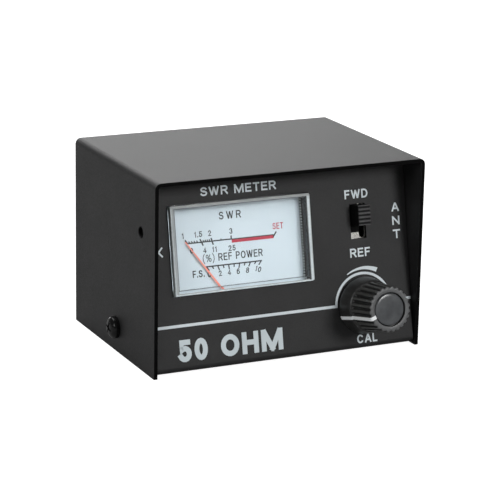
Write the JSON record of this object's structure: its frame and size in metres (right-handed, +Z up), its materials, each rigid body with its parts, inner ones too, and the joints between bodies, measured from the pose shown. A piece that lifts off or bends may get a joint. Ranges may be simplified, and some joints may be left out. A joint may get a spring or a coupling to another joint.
{
  "type": "swr meter",
  "caption": "Bench standing-wave meter in a folded steel case: tilted panel with a needle meter, slide switch and skirted knob, coaxial sockets at the back.",
  "frame": {"origin": "middle of the object's footprint on the surface it stands on", "axes": "+X to the right seen from the front, +Y to the back, where the sockets point, +Z up"},
  "size_m": [0.0794, 0.0811, 0.05],
  "materials": {
    "case_paint": "fine-textured matt black paint",
    "panel_paint": "fine-textured matt black paint with white legends",
    "black_screw": "black oxide, semi-gloss",
    "clear_plastic": "clear polystyrene",
    "black_plastic": "moulded",
    "dial_card": "matt bluish white with printed scales",
    "tinned_brass": "tinned",
    "plated_steel": "plated",
    "magnet": "sintered",
    "brass": "turned",
    "nickel_steel": "nickel plated",
    "phenolic": "brown laminate",
    "circuit_board": "green laminate",
    "nickel_plate": "nickel plated brass",
    "socket_insulator": "moulded off-white",
    "contact_plate": "plated",
    "plated_screw": "zinc plated",
    "copper": "enamelled copper",
    "diode_glass": "glass body",
    "resistor_body": "lacquered body",
    "capacitor_body": "dipped disc",
    "wire_cover": "insulated wire",
    "needle_paint": "orange-red paint",
    "aluminium": "plain",
    "black_gloss_plastic": "moulded, satin gloss",
    "knob_plastic": "moulded, satin gloss",
    "white_mark": "white fill",
    "knob_cap_grey": "grey, satin gloss"
  },
  "bodies": {
    "case": {"cover": "case_paint", "chassis": "panel_paint", "cover_screws": "black_screw", "meter_lens": "clear_plastic", "meter_housing": "black_plastic", "meter_dial": "dial_card", "meter_terminals": "tinned_brass", "meter_yoke": "plated_steel", "meter_core": "magnet", "core_supports": "brass", "front_bridge": "plated_steel", "rear_bridge": "plated_steel", "jewel_screws": "brass", "hairspring": "brass", "switch_frame": "nickel_steel", "switch_base": "black_plastic", "switch_pins": "tinned_brass", "pot_bush": "nickel_steel", "pot_can": "nickel_steel", "pot_track": "phenolic", "pot_pins": "tinned_brass", "pot_washer": "nickel_steel", "pot_nut": "nickel_steel", "control_board": "circuit_board", "socket_shells": "nickel_plate", "socket_insulators": "socket_insulator", "socket_contacts": "contact_plate", "socket_screws": "plated_screw", "socket_nuts": "plated_screw", "line_conductor": "tinned_brass", "line_trough": "tinned_brass", "pickup_lines": "copper", "pickup_board": "circuit_board", "diodes": "diode_glass", "resistors": "resistor_body", "capacitors": "capacitor_body", "signal_wires": "wire_cover", "meter_wires": "wire_cover"},
    "needle": {"needle": "needle_paint", "counterweight": "brass", "coil_former": "aluminium", "coil_winding": "copper", "coil_pivots": "plated_steel"},
    "switch_lever": {"switch_lever": "black_gloss_plastic", "switch_contacts": "copper"},
    "knob": {"knob_body": "knob_plastic", "knob_pointer": "white_mark", "knob_cap": "knob_cap_grey", "pot_shaft": "aluminium", "pot_wiper": "phenolic"}
  },
  "joints": [
    {"name": "needle_swing", "type": "hinge", "parent": "case", "child": "needle", "pos_m": [-0.0134, -0.02032, 0.01481], "axis": [0, 0.9806, -0.1959], "range_deg": [0, 78], "stiffness_Nm_per_rad": 0.00005},
    {"name": "switch_slide", "type": "slide", "parent": "case", "child": "switch_lever", "axis": [0, -0.1959, -0.9806], "range_m": [0, 0.0034]},
    {"name": "cal_turn", "type": "hinge", "parent": "case", "child": "knob", "pos_m": [0.0223, -0.0255, 0.01187], "axis": [0, 0.9806, -0.1959], "range_deg": [-37, 263]}
  ]
}
